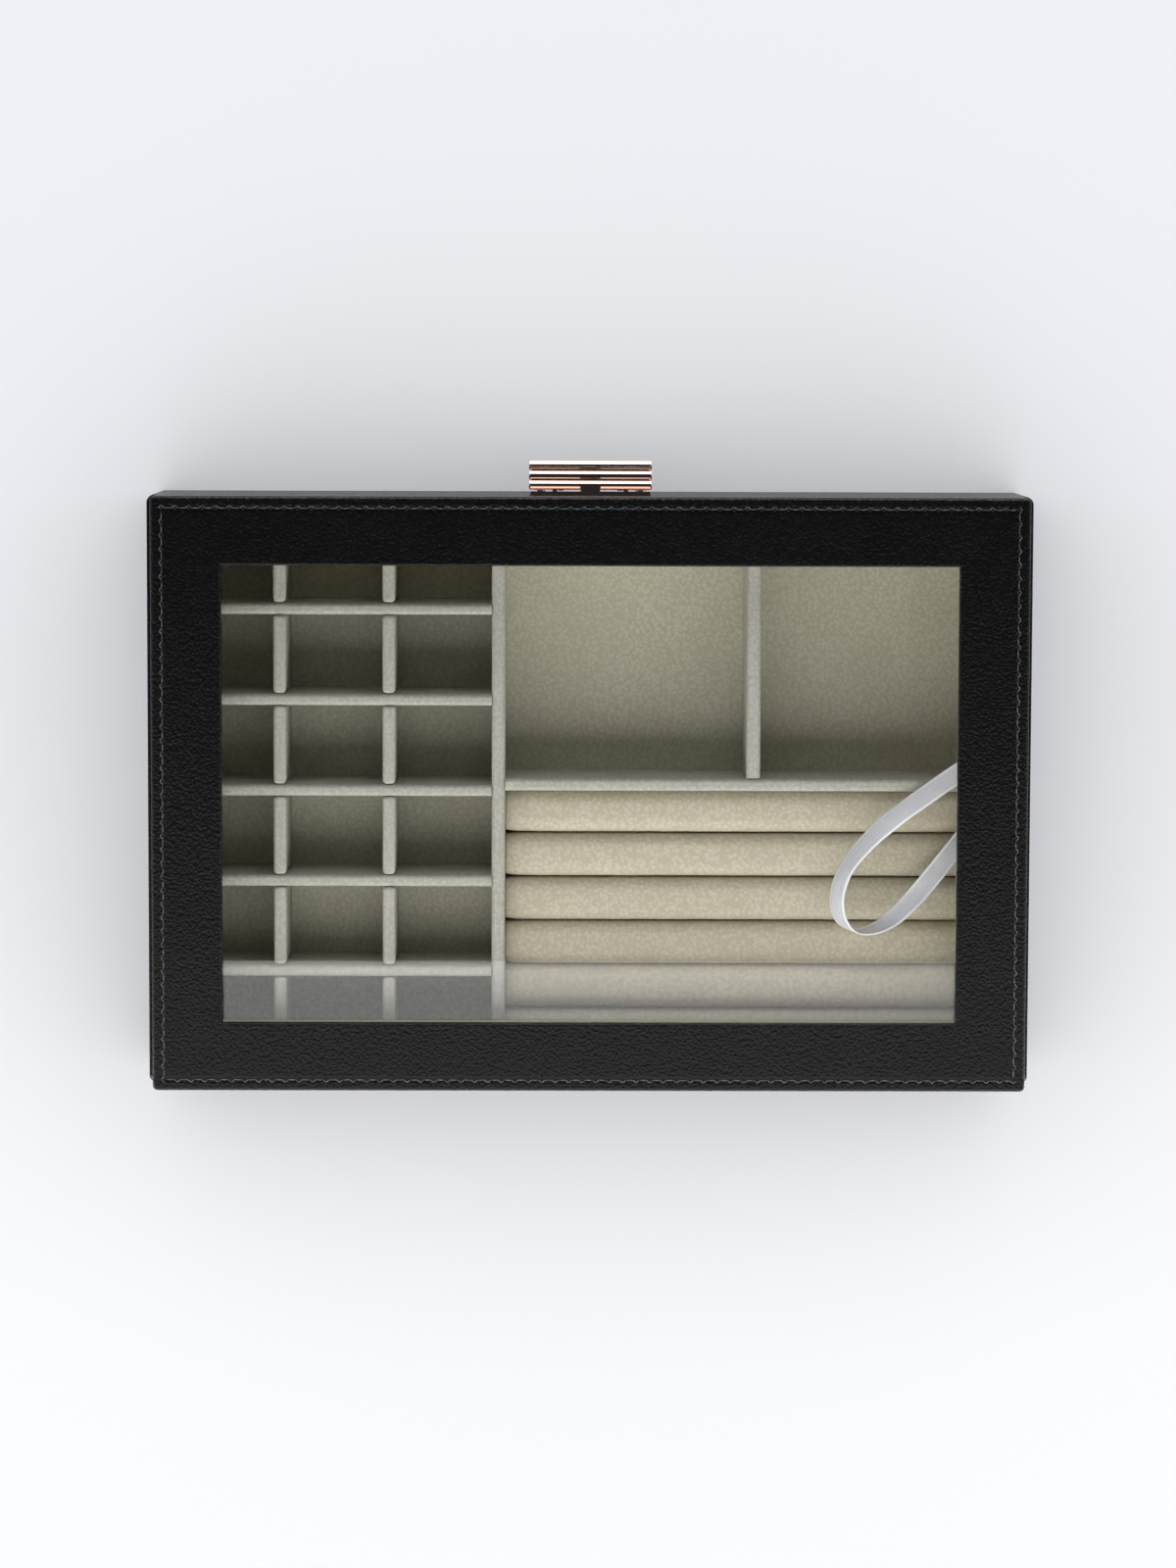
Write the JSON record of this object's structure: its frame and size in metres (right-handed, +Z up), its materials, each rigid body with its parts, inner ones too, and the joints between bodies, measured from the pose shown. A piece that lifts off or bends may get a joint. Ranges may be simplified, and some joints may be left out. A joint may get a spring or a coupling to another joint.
{
  "type": "jewelry gift box",
  "caption": "Flat leather-covered jewelry box with a lined tray of compartments and ring rolls, and a hinged glass-window lid with a ribbed clasp.",
  "frame": {"origin": "centre of the underside of the base, on the surface the box lies on", "axes": "+Z up towards the glass lid, -Y towards the front wall with the clasp, +Y towards the hinges, X along the width"},
  "size_m": [0.264, 0.1875, 0.052],
  "materials": {
    "black_leather": "fine-grained coated leather, satin",
    "black_base_cover": "matt black base cloth",
    "case_board": "fibre board",
    "cream_leather": "pebble-grained coated leather, matt",
    "roll_leather": "foam roll covered in pebble-grained coated leather",
    "foam_board": "foam board",
    "window_glass": "clear float glass",
    "rose_gold": "polished rose-gold plating",
    "hinge_metal": "satin rose-gold plating",
    "spring_steel": "drawn spring wire",
    "white_satin": "woven satin ribbon with looped edges"
  },
  "bodies": {
    "tray": {"clasp_pin": "hinge_metal", "clasp_plate": "rose_gold", "clasp_rivets": "rose_gold", "clasp_spring": "spring_steel", "column_divider_1": "cream_leather", "column_divider_2": "cream_leather", "cross_divider": "cream_leather", "floor_lining": "cream_leather", "front_lining": "cream_leather", "hinge_pin_left": "hinge_metal", "hinge_pin_right": "hinge_metal", "large_divider": "cream_leather", "left_lining": "cream_leather", "main_divider": "cream_leather", "rear_lining": "cream_leather", "ribbon_stay": "white_satin", "ribbon_tray_tab": "cream_leather", "right_lining": "cream_leather", "ring_base": "foam_board", "ring_roll_1": "roll_leather", "ring_roll_2": "roll_leather", "ring_roll_3": "roll_leather", "ring_roll_4": "roll_leather", "ring_roll_5": "roll_leather", "ring_roll_6": "roll_leather", "row_divider_1": "cream_leather", "row_divider_2": "cream_leather", "row_divider_3": "cream_leather", "row_divider_4": "cream_leather", "row_divider_5": "cream_leather", "tray_base_board": "case_board", "tray_base_cover": "black_base_cover", "tray_front_wall": "case_board", "tray_hinge_leaf_left": "hinge_metal", "tray_hinge_leaf_right": "hinge_metal", "tray_hinge_screws": "hinge_metal", "tray_leather_wrap": "black_leather", "tray_left_wall": "case_board", "tray_rear_wall": "case_board", "tray_right_wall": "case_board"},
    "lid": {"glass_pane": "window_glass", "lid_front_lining": "cream_leather", "lid_front_rail": "case_board", "lid_hinge_leaf_left": "hinge_metal", "lid_hinge_leaf_right": "hinge_metal", "lid_hinge_screws": "hinge_metal", "lid_leather_wrap": "black_leather", "lid_left_lining": "cream_leather", "lid_left_rail": "case_board", "lid_rear_lining": "cream_leather", "lid_rear_rail": "case_board", "lid_right_lining": "cream_leather", "lid_right_rail": "case_board", "ribbon_lid_patch": "cream_leather", "striker": "hinge_metal", "striker_screws": "hinge_metal"},
    "clasp": {"clasp_lever": "rose_gold"}
  },
  "joints": [
    {"name": "lid_hinge", "type": "hinge", "parent": "tray", "child": "lid", "pos_m": [0, 0.0862, 0.039], "axis": [-1, 0, 0], "range_deg": [0, 95], "deforming": ["ribbon_stay"]},
    {"name": "clasp_pivot", "type": "hinge", "parent": "tray", "child": "clasp", "pos_m": [0, -0.09145, 0.031], "axis": [1, 0, 0], "range_deg": [0, 12], "stiffness_Nm_per_rad": 0.05, "springref_deg": -17.19, "deforming": ["clasp_spring"]}
  ]
}
